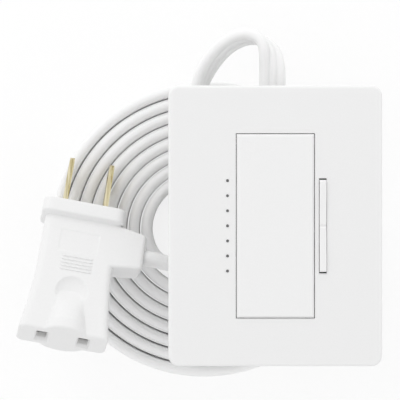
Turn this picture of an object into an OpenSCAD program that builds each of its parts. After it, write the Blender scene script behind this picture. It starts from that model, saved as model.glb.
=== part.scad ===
// Plug-in lamp dimmer: a shallow case with a tap paddle, a raise and lower rocker and a row of
// indicator dots, on a coiled flat three-core cord that ends in a plug with its own receptacle.
// Millimetres. The origin is the middle of the dimmer's own box, +Z points out of its face and
// +Y to the end that the cord leaves. The dimmer lies on the coil, and the coil on the table.

/* [Case] */
// Width of the face
face_w = 64; // [60:1:72]
// Length of the face
face_l = 84; // [80:1:100]
// Height from the back of the rear housing to the face
case_h = 30; // [28:1:36]
// Height of the front cover's skirt
cover_h = 8; // [8:0.5:10]
// Thickness of the front cover's face
cover_t = 2; // [1.6:0.1:2.4]
// Wall of the front cover's skirt
cover_wall = 2.2; // [1.6:0.1:2.6]
// Radius of the face's corners
corner_r = 3.2; // [2.8:0.1:5]
// Rounding of the face's edge
edge_r = 0.9; // [0.5:0.1:1.4]
// Width of the rear housing's box
box_w = 38; // [38:1:39]
// Length of the rear housing's box
box_l = 66; // [64:1:67]
// Radius of the box's upright corners
box_r = 3.5; // [2.5:0.1:3.5]
// Wall of the rear housing
box_wall = 2; // [1.6:0.1:2]
// Thickness of the rear housing's flange
flange_t = 2; // [1.6:0.1:2.4]
// Height of a rubber foot
foot_h = 2; // [1.5:0.1:3]
// Diameter of a rubber foot
foot_d = 8; // [6:0.5:10]
// Sideways distance between the feet
foot_pitch_x = 26; // [20:1:28]
// Lengthways distance between the feet
foot_pitch_y = 52; // [40:1:54]
// Diameter of a housing screw's thread
screw_d = 2.6; // [2:0.1:3]
// Distance of the housing screws from the edge of the face
screw_inset = 6; // [5.5:0.1:7]

/* [Controls] */
// Width of the paddle's opening
paddle_open_w = 23.6; // [20:0.2:24]
// Length of the paddle's opening
paddle_open_l = 55.3; // [50:0.1:56]
// Gap round the paddle
paddle_gap = 0.2; // [0.2:0.05:0.4]
// Thickness of the paddle
paddle_t = 2; // [1.6:0.1:2.2]
// Height of the paddle above the face
paddle_proud = 0.5; // [0.3:0.1:0.8]
// Diameter of the paddle's hinge pins
paddle_pin_d = 2; // [1.6:0.1:2.2]
// Width of the rocker
rocker_w = 2; // [1.8:0.1:2.2]
// Length of the rocker's slot
rocker_slot_l = 28.4; // [26:0.2:30]
// Gap at each end of the rocker
rocker_end_gap = 0.45; // [0.4:0.05:0.6]
// Distance of the rocker from the middle of the face
rocker_x = 14.2; // [14:0.1:14.3]
// Height of the rocker's ends above the face
rocker_proud = 0.9; // [0.7:0.1:1.2]
// Depth of the valley between the rocker's halves
rocker_valley = 0.45; // [0.2:0.05:0.6]
// Diameter of the rocker's pivot pins
rocker_pin_d = 1.6; // [1.2:0.1:1.8]
// Distance of the raise and lower switches from the rocker's pivot
rocker_arm = 9; // [8:0.5:11]
// Number of indicator dots
dot_count = 7; // [3:1:9]
// Distance between the dots
dot_pitch = 4.5; // [3:0.1:4.8]
// Diameter of a dot's hole
dot_d = 0.9; // [0.7:0.05:1.1]
// Distance of the dots from the middle of the face
dot_x = 14.3; // [14:0.1:14.4]

/* [Cord] */
// Width of the flat cord
cord_w = 8.2; // [7.6:0.1:8.4]
// Thickness of the flat cord
cord_t = 3.4; // [2.6:0.1:3.4]
// Turns of the coil, counted from its inner end
coil_turns = 7.4; // [5.4:1:7.4]
// Radius of the coil's inner end
coil_r = 18.6; // [17.8:0.2:19]
// Sideways step from turn to turn
coil_step_x = 4.18; // [4.1:0.02:4.3]
// Lengthways step from turn to turn
coil_step_y = 4.06; // [4:0.02:4.12]

/* [Plug] */
// Distance between the blades, and between the receptacle's slots
blade_pitch = 12.7; // [12.5:0.1:12.9]
// Width of a blade
blade_w = 6.35; // [6:0.05:6.5]
// Thickness of a blade
blade_t = 1.5; // [1.4:0.05:1.6]
// Length of a blade outside the plug
blade_l = 16; // [15:0.5:18]
// Length of the plug from its blades' face to its receptacle
plug_l = 42.8; // [41:0.2:48]
// Width of the plug at its flange
plug_w = 23; // [21:0.2:24]
// Width of the plug at its receptacle
plug_end_w = 27.6; // [26:0.2:29]
// Thickness of the plug at its flange
plug_t = 10; // [9.4:0.2:11]
// Thickness of the plug at its receptacle
plug_end_t = 12; // [11.4:0.2:14]
// Width of the flange
flange_w = 25.8; // [25:0.2:28]
// Depth of the flange, across the blades' width
flange_d = 13; // [12:0.5:15]
// Reach of the cord's arm from the plug's middle
arm_reach = 20.5; // [19.5:0.1:22]
// Width of the cord's arm
arm_w = 11.4; // [10.6:0.1:12]
// Thickness of the cord's arm
arm_t = 10; // [9.2:0.1:10]

/* [Hidden] */
$fn = 48;

// Cutters run past what they cut by this much
past = 1;
// Clearance all round of a hand fit, a running fit and a snug fit
fit = 0.2;
run = 0.1;
snug = 0.05;

// Heights of the case, measured from the middle of the dimmer's box
face_z = (foot_h + case_h + rocker_proud) / 2 - rocker_proud;
back_z = face_z - case_h;
skirt_z = face_z - cover_h;
under_z = face_z - cover_t;
table_z = back_z - foot_h - cord_w;

// Boards, and what stands on them
board_t = 1.6;
standoff_h = 1.6;
standoff_d = 4.6;
board_gap = 0.5;
ledge = 3;
ledge_gap = 1;
board_w = box_w - 2 * box_wall - 2 * board_gap;
control_l = box_l - 2 * box_wall - 2 * board_gap;
power_l = box_l - 2 * box_wall - 2 * ledge - 2 * ledge_gap;
control_z = skirt_z - board_t;
power_z = back_z + box_wall + standoff_h;
power_top = power_z + board_t;
bay_h = control_z - power_top;
board_screw_inset = 2.6;
board_screw_x = board_w / 2 - board_screw_inset;
board_screw_y = power_l / 2 - board_screw_inset;
board_screw_d = 2;

// Switches under the paddle and the rocker
switch_h = 3.2;
plunger_proud = 0.7;
plunger_d = 3;
plunger_sink = 1;
plunger_travel = 0.6;
plunger_top = skirt_z + switch_h + plunger_proud;
tap_y = -8;
tap_switch_w = 6;
dim_switch_w = 4.2;
chip_size = [7, 7, 1];
chip_y = 12;
lamp_size = [1, 1.8, 0.8];

// Paddle and its hinge
paddle_w = paddle_open_w - 2 * paddle_gap;
paddle_l = paddle_open_l - 2 * paddle_gap;
paddle_bottom = face_z + paddle_proud - paddle_t;
paddle_bevel = 0.9;
paddle_post_d = 4;
hinge_inset = 2;
hinge_drop = 3.4;
hinge_y = paddle_l / 2 - hinge_inset;
hinge_z = face_z - hinge_drop;
hinge_arm_t = 2.4;
hinge_arm_inset = 0.6;
hinge_arm_x = paddle_w / 2 - hinge_arm_t - hinge_arm_inset;
ear_t = 2.4;
ear_gap = 0.3;
ear_x = paddle_open_w / 2 + ear_gap;
ear_rim = 1.2;
lip_inset = 2.5;
lip_w = paddle_w - 2 * lip_inset;
lip_t = 1;
lip_reach = 1.2;
lip_root = 2;

// Rocker and its pivot
rocker_l = rocker_slot_l - 2 * rocker_end_gap;
rocker_side_gap = 0.15;
rocker_slot_w = rocker_w + 2 * rocker_side_gap;
pivot_drop = 3.6;
pivot_z = face_z - pivot_drop;
rocker_lift = 0.2;
rocker_bottom = pivot_z + rocker_lift;
rocker_pad_l = 1.6;
rocker_bevel = 0.5;
rocker_notch = 0.35;
rocker_notch_w = 1.2;
pivot_ear_t = 1.4;

// Housing screws and the bosses they hold
boss_wall = 1.7;
boss_d = screw_d + 2 * boss_wall;
screw_x = face_w / 2 - screw_inset;
screw_y = face_l / 2 - screw_inset;
screw_head_d = 2 * screw_d;
screw_head_h = 1.6;
screw_cross = [3, 0.7, 0.8];
screw_grip = cover_h - flange_t - cover_t;

// Strain relief in the end wall of the box
relief_h = 11;
relief_z = back_z + relief_h;
relief_neck_wall = [1.8, 1.2];
relief_neck_w = cord_w + 2 * relief_neck_wall.x;
relief_neck_t = cord_t + 2 * relief_neck_wall.y;
relief_flange = 1.8;
relief_flange_t = 2.5;
relief_tip_wall = [0.6, 0.5];
relief_tip_w = cord_w + 2 * relief_tip_wall.x;
relief_tip_t = cord_t + 2 * relief_tip_wall.y;
relief_inset = 1;
relief_out = face_l / 2 - box_l / 2 - relief_inset;
relief_in = 9;
relief_end_y = box_l / 2 + relief_out;
lead_pitch = 2.5;
lead_d = 1.8;
lead_start_y = box_l / 2 - box_wall - relief_flange_t - relief_in;
lead_reach = 6;
lead_bend_r = 4.4;
lead_end_y = lead_start_y - lead_reach;

// Parts on the power board, placed one after the other from its ends and its edge
part_gap = 1.4;
tallest = bay_h - fit;
header_size = [15, 2.6];
header_inset = 2;
header_y = header_inset - power_l / 2;
header_edge = header_y + header_size.y / 2;
sink_t = 2;
sink_l = 36;
sink_full_h = 13;
sink_h = min(sink_full_h, tallest);
sink_x = board_w / 2 - sink_t;
triac_y = 13;
triac_w = 10;
triac_t = 4.5;
triac_tab_t = 1.3;
triac_hole_h = 10.6;
triac_body_h = 5.6;
triac_leg_l = 2.6;
triac_leg_w = 0.8;
triac_leg_pitch = 2.54;
triac_screw_d = 3;
triac_screw_head = 1.6;
choke_x = -6.4;
choke_od = 15;
choke_id = 7.5;
choke_h = 6.5;
wire_t = 1.5;
winding_arc = 150;
choke_y = header_edge + choke_od / 2 + wire_t + part_gap;
film_w = 8;
film_l = 16;
film_full_h = 12;
film_size = [film_w, film_l, min(film_full_h, tallest)];
film_x = 8;
film_y = header_edge + film_l / 2 + part_gap / 2;
can_d = 8;
can_full_h = 12;
can_h = min(can_full_h, tallest);
can_x = 8;
can_y = film_y + film_l / 2 + can_d / 2 + part_gap;
varistor_d = 9;
varistor_t = 4;
varistor_x = -5;
varistor_y = choke_y + choke_od / 2 + wire_t + varistor_t / 2 + part_gap;
board_screw_head_d = 3.8;
board_screw_head_h = 1.2;
fuse_d = 5;
fuse_l = 16;
fuse_cap_l = 4;
fuse_cap_t = 0.3;
fuse_x = -12.6;
fuse_y = board_screw_y - board_screw_head_d / 2 - fuse_l / 2 - part_gap;
resistor_d = 2.4;
resistor_l = 5.6;
resistor_pitch = 3;
resistor_x = 6.8;
resistor_y = can_y + can_d / 2 + resistor_d / 2 + part_gap;

// Flat cord: an eight-sided section, with its narrow edges cut flat
cord_section = [
    [cord_t / 2, cord_w / 2 - cord_t * 0.4], [cord_t / 4, cord_w / 2],
    [-cord_t / 4, cord_w / 2], [-cord_t / 2, cord_w / 2 - cord_t * 0.4],
    [-cord_t / 2, cord_t * 0.4 - cord_w / 2], [-cord_t / 4, -cord_w / 2],
    [cord_t / 4, -cord_w / 2], [cord_t / 2, cord_t * 0.4 - cord_w / 2]
];
on_edge = 90;
edge_z = cord_w / 2;

// Coil: a clockwise spiral that opens from its inner end, its middle drifting as it grows
coil_start = 185;
coil_mid = [-21.1, -2.2];
coil_drift = [0.1, -0.07];
coil_oval = 0.922;
coil_rings = 24;
coil_last = round(coil_turns * coil_rings);

// Plug: place of the middle of its blades' face, its tilt up, its turn and its roll
plug_tilt = 22.5;
plug_turn = -7.9;
plug_roll = 7;
plug_slant = 5;
plug_waist_y = 20;
plug_xy = [-58.9, 4.5];
blade_rest = 0.1;
blade_tip = 1.2;
blade_hole_y = 11.9;
blade_hole_d = 3.2;
blade_fold_w = 0.3;
blade_fold_deep = 0.6;
blade_drop = (blade_pitch + blade_t) / 2 * sin(plug_roll) + blade_w / 2 * cos(plug_roll);
plug_z = table_z + cord_w + blade_rest + blade_drop * cos(plug_tilt) + (blade_l - blade_tip) * sin(plug_tilt);
plug_flange_t = 4;
flange_r = 4;
arm_y = 12.2;
arm_slope = 2.4;
arm_cut = 1.2;
slot_w = 3.8;
slot_h = 6.8;
slot_deep = 3;
pocket_w = 5.2;
pocket_h = 8.4;
pocket_l = 13;
leaf_t = 0.6;
leaf_gap = 1.3;
strap_t = 0.8;
strap_h = 4;
leaf_l = 10;
leaf_start = plug_l - slot_deep - pocket_l + leaf_t;
plug_lead_d = 1.6;
plug_lead_pitch = 2.5;
plug_lead_y = [arm_y - plug_lead_pitch, arm_y, arm_y + plug_lead_pitch];
blade_root = plug_lead_y[0] + plug_lead_d / 2 + fit;
tail_start = plug_lead_y[2] - plug_lead_d / 2;
lobe_w = 10;
lobe_start = 28;
lobe_front = 3.6;
lobe_back = 4;
thumb_y = 29.4;
thumb_w = 11;
thumb_tip = 15;
thumb_clear = 4;

// Route of the cord's loop after its strain relief: x, y, height above the table, roll.
// A roll of 0 lies flat, and at 90 the cord stands on its edge.
loop_points = [
    [0, 49.2, 21.2, 6], [-0.8, 54.6, 21, 45], [-3.2, 57.8, 20.4, 85], [-7.8, 59.2, 19.2, 112],
    [-13.6, 56.8, 17.4, 120], [-17.7, 53, 15.8, 123], [-21, 48, 14.2, 122], [-22.9, 43, 13.1, 112],
    [-23.6, 37, 12.7, 98], [-23.2, 30, 12.6, 90], [-22.6, 23, 12.6, 90], [-22.2, 16, 12.6, 90],
    [-22.1, 9, 10.8, 90], [-22.2, 2, 8, 90], [-23.2, -5, 5.6, 90], [-26.6, -10.6, 4.4, 90],
    [-31.8, -12.6, 4.1, 90], [-36.8, -9.8, 4.1, 90]
];
// Route of the cord's tail from the coil's outer end to the plug's arm
tail_points = [
    [23.8, 20, 4.1, 90], [28.8, 10.6, 4.6, 90], [31, 1, 6, 90], [31.2, -8.6, 8.4, 90],
    [29.6, -17.6, 10.8, 90], [25.6, -26, 12.4, 90], [20, -33, 13.2, 90], [11, -36.8, 13.6, 90],
    [1, -37.6, 14.2, 90], [-9, -37.4, 15, 90], [-16.4, -36, 16, 90], [-21.6, -32, 17, 90],
    [-23.6, -26, 17.8, 90], [-24.2, -20.4, 18.4, 93], [-26.2, -15.6, 18.8, 99],
    [-30.2, -12.8, 19, 106]
];
tail_roll = 110;
tail_straight = 5.5;

// Unit vector
function unit(v) = v / norm(v);
// Point of a smooth curve through points p, a share f of the way from point i to the next
function spline(p, i, f) =
    let (n = len(p) - 1, a = p[max(i - 1, 0)], b = p[i], c = p[min(i + 1, n)], d = p[min(i + 2, n)])
    b + (c - a) * f / 2 + (2 * a - 5 * b + 4 * c - d) * f * f / 2 + (3 * (b - c) + d - a) * f * f * f / 2;
// A route with one more point between each pair
function smooth_route(p) =
    concat([for (i = [0 : len(p) - 2]) each [p[i], spline(p, i, 0.5)]], [p[len(p) - 1]]);
// Place of a route's point, and its direction from its neighbours
function place(p) = [p.x, p.y, table_z + p.z];
function heading(q, i) = unit(place(q[min(i + 1, len(q) - 1)]) - place(q[max(i - 1, 0)]));
// Ring of the cord's section, square to direction t, rolled from flat
function cord_ring(at, t, roll) =
    let (up = unit([0, 0, 1] - t * t.z), left = cross(up, t))
    let (wide = cos(roll) * left + sin(roll) * up, thick = cross(t, wide))
    [for (s = cord_section) at + s.x * thick + s.y * wide];
// Point and direction of the coil after so many turns
function coil_axes(t) = [coil_r + coil_step_x * t, coil_r * coil_oval + coil_step_y * t];
function coil_angle(t) = coil_start - 360 * t;
function coil_point(t) = let (m = coil_mid + coil_drift * t, r = coil_axes(t), a = coil_angle(t))
    [m.x + r.x * cos(a), m.y + r.y * sin(a), edge_z];
function coil_heading(t) = let (r = coil_axes(t), a = coil_angle(t)) unit([r.x * sin(a), -r.y * cos(a), 0]);
// Place on the plug: across it, away from the blades, out of its front
function plug_at(across, along, out) =
    let (x = across * cos(plug_roll) + out * sin(plug_roll))
    let (front = out * cos(plug_roll) - across * sin(plug_roll))
    let (y = -along * cos(plug_tilt) + front * sin(plug_tilt))
    let (z = along * sin(plug_tilt) + front * cos(plug_tilt))
    [plug_xy.x + x * cos(plug_turn) - y * sin(plug_turn),
     plug_xy.y + x * sin(plug_turn) + y * cos(plug_turn), plug_z + z];
// Where the plug's slanted end is, so far out of its middle plane
function plug_end(out) = out * tan(plug_slant) - plug_l;

coil_path = [for (i = [0 : coil_last]) coil_point(i / coil_rings)];
coil_rings_all = [for (i = [0 : coil_last])
    cord_ring(place(coil_path[i]), coil_heading(i / coil_rings), on_edge)];
// Least distance between the points of one turn and those of the next
turn_gaps = [for (i = [0 : coil_last - coil_rings - 2], j = [-2 : 2], a = coil_rings_all[i])
    min([for (b = coil_rings_all[i + coil_rings + j]) norm(a - b)])];
echo(least_gap_between_turns = min(turn_gaps));

relief_exit = [0, relief_end_y, relief_z - table_z, 0];
loop_route = smooth_route(concat([relief_exit, relief_exit + [0, cord_t, 0, 0]], loop_points,
    [concat(coil_path[0], [on_edge])]));
arm_end = plug_at(arm_reach, arm_y, 0);
arm_dir = plug_at(1, 0, 0) - plug_at(0, 0, 0);
function above_table(p, roll) = [p.x, p.y, p.z - table_z, roll];
tail_route = smooth_route(concat([concat(coil_path[coil_last], [on_edge])], tail_points,
    [above_table(arm_end + arm_dir * tail_straight, tail_roll), above_table(arm_end, tail_roll)]));

// Rounded upright block, its base on z = 0
module slab(w, l, h, r) {
    translate([-w / 2, r - l / 2, 0]) cube([w, l - 2 * r, h]);
    translate([r - w / 2, -l / 2, 0]) cube([w - 2 * r, l, h]);
    for (x = [-1, 1], y = [-1, 1])
        translate([x * (w / 2 - r), y * (l / 2 - r), 0]) cylinder(r = r, h = h);
}

// Rounded block whose upper edge is rounded too
module soft_slab(w, l, h, r, e) {
    hull()
        for (x = [-1, 1], y = [-1, 1])
            translate([x * (w / 2 - r), y * (l / 2 - r), 0]) {
                cylinder(r = r, h = past, $fn = 32);
                translate([0, 0, h - e]) rotate_extrude($fn = 32)
                    translate([r - e, 0]) circle(r = e, $fn = 32);
            }
}

// Cylinder along X, from its middle
module rod_x(d, l) {
    rotate([0, 90, 0]) cylinder(d = d, h = l, center = true);
}

// Block centred in x and y, standing on z = 0
module post(size) {
    translate([-size.x / 2, -size.y / 2, 0]) cube(size);
}

// One closed tube through a list of rings
module swept(rings) {
    n = len(rings[0]);
    last = len(rings) - 1;
    sides = [for (i = [0 : last - 1], j = [0 : n - 1]) let (a = i * n + j, b = i * n + (j + 1) % n)
        each [[a, a + n, b + n], [a, b + n, b]]];
    ends = [for (j = [1 : n - 2]) each [[0, j, j + 1], [last * n, last * n + j + 1, last * n + j]]];
    polyhedron(points = [for (r = rings) each r], faces = concat(sides, ends));
}

// A stretch of cord along a route whose two end directions are given
module cord_stretch(q, first, final) {
    last = len(q) - 1;
    swept([for (i = [0 : last])
        cord_ring(place(q[i]), i == 0 ? first : i == last ? final : heading(q, i), q[i][3])]);
}

// The plug's own frame: x across, y towards the blades, z out of its front
module on_plug() {
    translate([plug_xy.x, plug_xy.y, plug_z])
        rotate([0, 0, plug_turn]) rotate([-plug_tilt, 0, 0]) rotate([0, plug_roll, 0]) children();
}

// A flat outline across and out, carried away from the blades
module away(start, length) {
    translate([0, -start, 0]) rotate([90, 0, 0]) linear_extrude(length) children();
}

// Places of the housing screws, the board screws and the indicator dots
module at_screws() {
    for (x = [-1, 1], y = [-1, 1]) translate([x * screw_x, y * screw_y, 0]) children();
}

module at_board_screws() {
    for (x = [-1, 1], y = [-1, 1]) translate([x * board_screw_x, y * board_screw_y, 0]) children();
}

module at_dots() {
    for (i = [0 : dot_count - 1])
        translate([-dot_x, (i - (dot_count - 1) / 2) * dot_pitch, 0]) children();
}

module front_cover() {
    ear_h = under_z - hinge_z + paddle_pin_d / 2 + ear_rim;
    ear_l = paddle_pin_d + 2 * ear_rim;
    pivot_ear_h = under_z - pivot_z + rocker_pin_d / 2 + ear_rim;
    pivot_ear_l = rocker_pin_d + 2 * ear_rim;
    color("white") difference() {
        union() {
            difference() {
                translate([0, 0, skirt_z]) soft_slab(face_w, face_l, cover_h, corner_r, edge_r);
                translate([0, 0, skirt_z - past])
                    slab(face_w - 2 * cover_wall, face_l - 2 * cover_wall, cover_h - cover_t + past,
                        max(corner_r - cover_wall, 0.4));
            }
            at_screws() translate([0, 0, skirt_z + flange_t]) cylinder(d = boss_d, h = screw_grip);
            for (x = [-1, 1]) {
                translate([x * (ear_x + ear_t / 2), hinge_y, under_z - ear_h]) post([ear_t, ear_l, ear_h]);
                translate([rocker_x + x * (rocker_slot_w / 2 + pivot_ear_t / 2), 0, under_z - pivot_ear_h])
                    post([pivot_ear_t, pivot_ear_l, pivot_ear_h]);
            }
        }
        translate([0, 0, under_z - past / 2]) post([paddle_open_w, paddle_open_l, cover_t + past]);
        translate([rocker_x, 0, under_z - past / 2]) post([rocker_slot_w, rocker_slot_l, cover_t + past]);
        at_dots() translate([0, 0, under_z - past]) cylinder(d = dot_d, h = cover_t + 2 * past);
        at_screws() translate([0, 0, skirt_z]) cylinder(d = screw_d + 2 * snug, h = cover_h - cover_t);
        translate([0, hinge_y, hinge_z]) rod_x(paddle_pin_d + 2 * run, 2 * (ear_x + ear_t) + past);
        translate([rocker_x, 0, pivot_z])
            rod_x(rocker_pin_d + 2 * run, rocker_slot_w + 2 * pivot_ear_t + past / 2);
    }
}

module rear_housing() {
    inner_w = box_w - 2 * box_wall;
    inner_l = box_l - 2 * box_wall;
    flange_fit = cover_wall + fit;
    ledge_h = control_z - back_z;
    color("whitesmoke") difference() {
        union() {
            difference() {
                union() {
                    translate([0, 0, skirt_z])
                        slab(face_w - 2 * flange_fit, face_l - 2 * flange_fit, flange_t, 1);
                    translate([0, 0, back_z]) slab(box_w, box_l, skirt_z - back_z + flange_t / 2, box_r);
                }
                translate([0, 0, back_z + box_wall])
                    slab(inner_w, inner_l, case_h, max(box_r - box_wall, 0.4));
            }
            for (x = [-1, 1], y = [-1, 1])
                translate([x * (inner_w - ledge) / 2, y * (inner_l - ledge) / 2, back_z])
                    post([ledge, ledge, ledge_h]);
            at_board_screws() translate([0, 0, back_z]) cylinder(d = standoff_d, h = power_z - back_z);
        }
        at_screws() translate([0, 0, skirt_z - past])
            cylinder(d = screw_d + 2 * fit, h = flange_t + 2 * past);
        at_board_screws() translate([0, 0, power_z - standoff_h])
            cylinder(d = board_screw_d + 2 * snug, h = standoff_h + past);
        translate([0, box_l / 2 - box_wall / 2, relief_z - relief_neck_t / 2 - snug])
            post([relief_neck_w + 2 * snug, box_wall + past, relief_neck_t + 2 * snug]);
    }
}

module rubber_feet() {
    color("dimgray")
        for (x = [-1, 1], y = [-1, 1])
            translate([x * foot_pitch_x / 2, y * foot_pitch_y / 2, back_z - foot_h])
                cylinder(d = foot_d, h = foot_h);
}

module housing_screws() {
    color("silver") at_screws() difference() {
        union() {
            translate([0, 0, skirt_z - screw_head_h]) cylinder(d = screw_head_d, h = screw_head_h);
            translate([0, 0, skirt_z - screw_head_h / 2])
                cylinder(d = screw_d, h = screw_head_h / 2 + flange_t + screw_grip - fit);
        }
        for (a = [0, 90]) translate([0, 0, skirt_z - screw_head_h - past])
            rotate([0, 0, a]) post(screw_cross + [0, 0, past]);
    }
}

module tap_paddle() {
    pin_l = 2 * (ear_x + ear_t - fit);
    color("white") {
        difference() {
            translate([0, 0, paddle_bottom]) post([paddle_w, paddle_l, paddle_t]);
            for (y = [-1, 1]) translate([0, y * paddle_l / 2, face_z + paddle_proud])
                rotate([45, 0, 0]) cube([paddle_w + past, paddle_bevel, paddle_bevel], center = true);
            for (x = [-1, 1]) translate([x * paddle_w / 2, 0, face_z + paddle_proud])
                rotate([0, 45, 0]) cube([paddle_bevel, paddle_l + past, paddle_bevel], center = true);
        }
        translate([0, tap_y, plunger_top + snug])
            cylinder(d = paddle_post_d, h = paddle_bottom - plunger_top);
        translate([-lip_w / 2, -paddle_l / 2 - lip_reach, under_z - fit - lip_t])
            cube([lip_w, lip_reach + lip_root, lip_t]);
        translate([-lip_w / 2, -paddle_l / 2, under_z - fit - lip_t])
            cube([lip_w, lip_root, paddle_bottom - under_z + fit + lip_t + snug]);
        for (x = [-1, 1])
            translate([x * (hinge_arm_x + hinge_arm_t / 2), hinge_y, hinge_z - paddle_pin_d / 2])
                post([hinge_arm_t, paddle_pin_d, paddle_bottom - hinge_z + paddle_pin_d / 2 + snug]);
        difference() {
            translate([0, hinge_y, hinge_z]) rod_x(paddle_pin_d, pin_l);
            translate([0, hinge_y, hinge_z]) rod_x(paddle_pin_d + past, 2 * hinge_arm_x + hinge_arm_t);
        }
    }
}

module dimming_rocker() {
    pad_h = rocker_bottom - plunger_top;
    end = rocker_l / 2;
    top = face_z + rocker_proud;
    color("white") {
        translate([rocker_x - rocker_w / 2, 0, 0]) rotate([90, 0, 90]) linear_extrude(rocker_w)
            polygon([
                [-end, top - rocker_bevel], [-end, rocker_bottom], [end, rocker_bottom],
                [end, top - rocker_bevel], [end - rocker_bevel, top],
                [rocker_notch_w / 2, top - rocker_valley], [0, top - rocker_valley - rocker_notch],
                [-rocker_notch_w / 2, top - rocker_valley], [rocker_bevel - end, top]
            ]);
        for (y = [-1, 1]) translate([rocker_x, y * rocker_arm, plunger_top + snug])
            post([rocker_w, rocker_pad_l, pad_h]);
        translate([rocker_x, 0, pivot_z]) rod_x(rocker_pin_d, rocker_slot_w + 2 * pivot_ear_t);
    }
}

module light_pipe() {
    bar_t = 1.6;
    bar_w = 2.6;
    leg_d = 1.4;
    leg_l = under_z - bar_t - skirt_z - lamp_size.z - fit;
    color("gainsboro") {
        translate([-dot_x, 0, under_z - bar_t]) post([bar_w, dot_count * dot_pitch, bar_t]);
        at_dots() {
            translate([0, 0, under_z - bar_t / 2])
                cylinder(d = dot_d - 2 * snug, h = bar_t / 2 + cover_t - snug);
            translate([0, 0, under_z - bar_t - leg_l]) cylinder(d = leg_d, h = leg_l + bar_t / 2);
        }
    }
}

module indicator_lamps() {
    color("lightyellow") at_dots() translate([0, 0, skirt_z]) post(lamp_size);
}

module control_board() {
    color("seagreen") translate([0, 0, control_z]) post([board_w, control_l, board_t]);
}

module microcontroller() {
    color("black") translate([0, chip_y, skirt_z]) post(chip_size);
}

// A push switch's body with the bore that its plunger slides in
module switch_body(w) {
    difference() {
        post([w, w, switch_h]);
        translate([0, 0, switch_h - plunger_sink - plunger_travel])
            cylinder(d = plunger_d + 2 * run, h = plunger_sink + plunger_travel + past);
    }
}

module switch_bodies() {
    color("dimgray") translate([0, 0, skirt_z]) {
        translate([0, tap_y, 0]) switch_body(tap_switch_w);
        for (y = [-1, 1]) translate([rocker_x, y * rocker_arm, 0]) switch_body(dim_switch_w);
    }
}

// A push switch's plunger
module plunger() {
    translate([0, 0, plunger_top - plunger_proud - plunger_sink])
        cylinder(d = plunger_d, h = plunger_proud + plunger_sink);
}

module tap_plunger() {
    color("black") translate([0, tap_y, 0]) plunger();
}

module raise_plunger() {
    color("black") translate([rocker_x, rocker_arm, 0]) plunger();
}

module lower_plunger() {
    color("black") translate([rocker_x, -rocker_arm, 0]) plunger();
}

module board_header() {
    color("black") translate([0, header_y, power_top]) post([header_size.x, header_size.y, bay_h]);
}

module power_board() {
    color("seagreen") difference() {
        translate([0, 0, power_z]) post([board_w, power_l, board_t]);
        at_board_screws() translate([0, 0, power_z - past])
            cylinder(d = board_screw_d + 2 * fit, h = board_t + 2 * past);
    }
}

module board_screws() {
    color("silver") at_board_screws() {
        translate([0, 0, power_top]) cylinder(d = board_screw_head_d, h = board_screw_head_h);
        translate([0, 0, power_z - standoff_h + fit])
            cylinder(d = board_screw_d, h = standoff_h + board_t + board_screw_head_h / 2 - fit);
    }
}

module heat_sink() {
    color("silver") difference() {
        translate([sink_x, -sink_l / 2, power_top]) cube([sink_t, sink_l, sink_h]);
        translate([sink_x, triac_y, power_top + triac_hole_h]) rod_x(triac_screw_d + 2 * snug, 4 * sink_t);
    }
}

module triac() {
    color("darkslategray") translate([sink_x, triac_y, power_top]) difference() {
        union() {
            translate([-triac_tab_t, -triac_w / 2, triac_leg_l])
                cube([triac_tab_t, triac_w, sink_h - triac_leg_l]);
            translate([-triac_t, -triac_w / 2, triac_leg_l]) cube([triac_t, triac_w, triac_body_h]);
            for (i = [-1 : 1]) translate([-triac_t / 2, i * triac_leg_pitch, 0])
                post([triac_leg_w, triac_leg_w, triac_leg_l + snug]);
        }
        translate([0, 0, triac_hole_h]) rod_x(triac_screw_d + 2 * fit, 4 * triac_t);
    }
}

module triac_screw() {
    shank_l = sink_t + triac_tab_t + 2 * snug;
    color("silver") translate([sink_x - triac_tab_t, triac_y, power_top + triac_hole_h]) {
        translate([-triac_screw_head / 2, 0, 0]) rod_x(triac_screw_d * 1.5, triac_screw_head);
        translate([shank_l / 2 - 2 * snug, 0, 0]) rod_x(triac_screw_d, shank_l);
    }
}

// Ring of rectangular section
module ring(od, id, h) {
    rotate_extrude() translate([id / 2, 0]) square([(od - id) / 2, h]);
}

module choke_core() {
    color("darkgray") translate([choke_x, choke_y, power_top + wire_t]) ring(choke_od, choke_id, choke_h);
}

module choke_winding() {
    color("peru") translate([choke_x, choke_y, power_top])
        for (side = [0, 180]) rotate([0, 0, side + (180 - winding_arc) / 2])
            rotate_extrude(angle = winding_arc)
            difference() {
                translate([choke_id / 2 - wire_t, 0])
                    square([(choke_od - choke_id) / 2 + 2 * wire_t, choke_h + 2 * wire_t]);
                translate([choke_id / 2, wire_t]) square([(choke_od - choke_id) / 2, choke_h]);
            }
}

module film_capacitor() {
    color("goldenrod") translate([film_x, film_y, power_top]) post(film_size);
}

module electrolytic_capacitor() {
    color("navy") translate([can_x, can_y, power_top]) cylinder(d = can_d, h = can_h);
}

module varistor() {
    color("royalblue") translate([varistor_x, varistor_y, power_top + varistor_d / 2])
        rotate([90, 0, 0]) cylinder(d = varistor_d, h = varistor_t, center = true);
}

module fuse() {
    color("lightgray") translate([fuse_x, fuse_y, power_top + fuse_d / 2 + fuse_cap_t]) rotate([90, 0, 0]) {
        cylinder(d = fuse_d, h = fuse_l, center = true);
        for (z = [-1, 1]) translate([0, 0, z * (fuse_l - fuse_cap_l) / 2])
            cylinder(d = fuse_d + 2 * fuse_cap_t, h = fuse_cap_l, center = true);
    }
}

module resistors() {
    color("tan") for (i = [0 : 2])
        translate([resistor_x, resistor_y + i * resistor_pitch, power_top + resistor_d / 2])
            rod_x(resistor_d, resistor_l);
}

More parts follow.
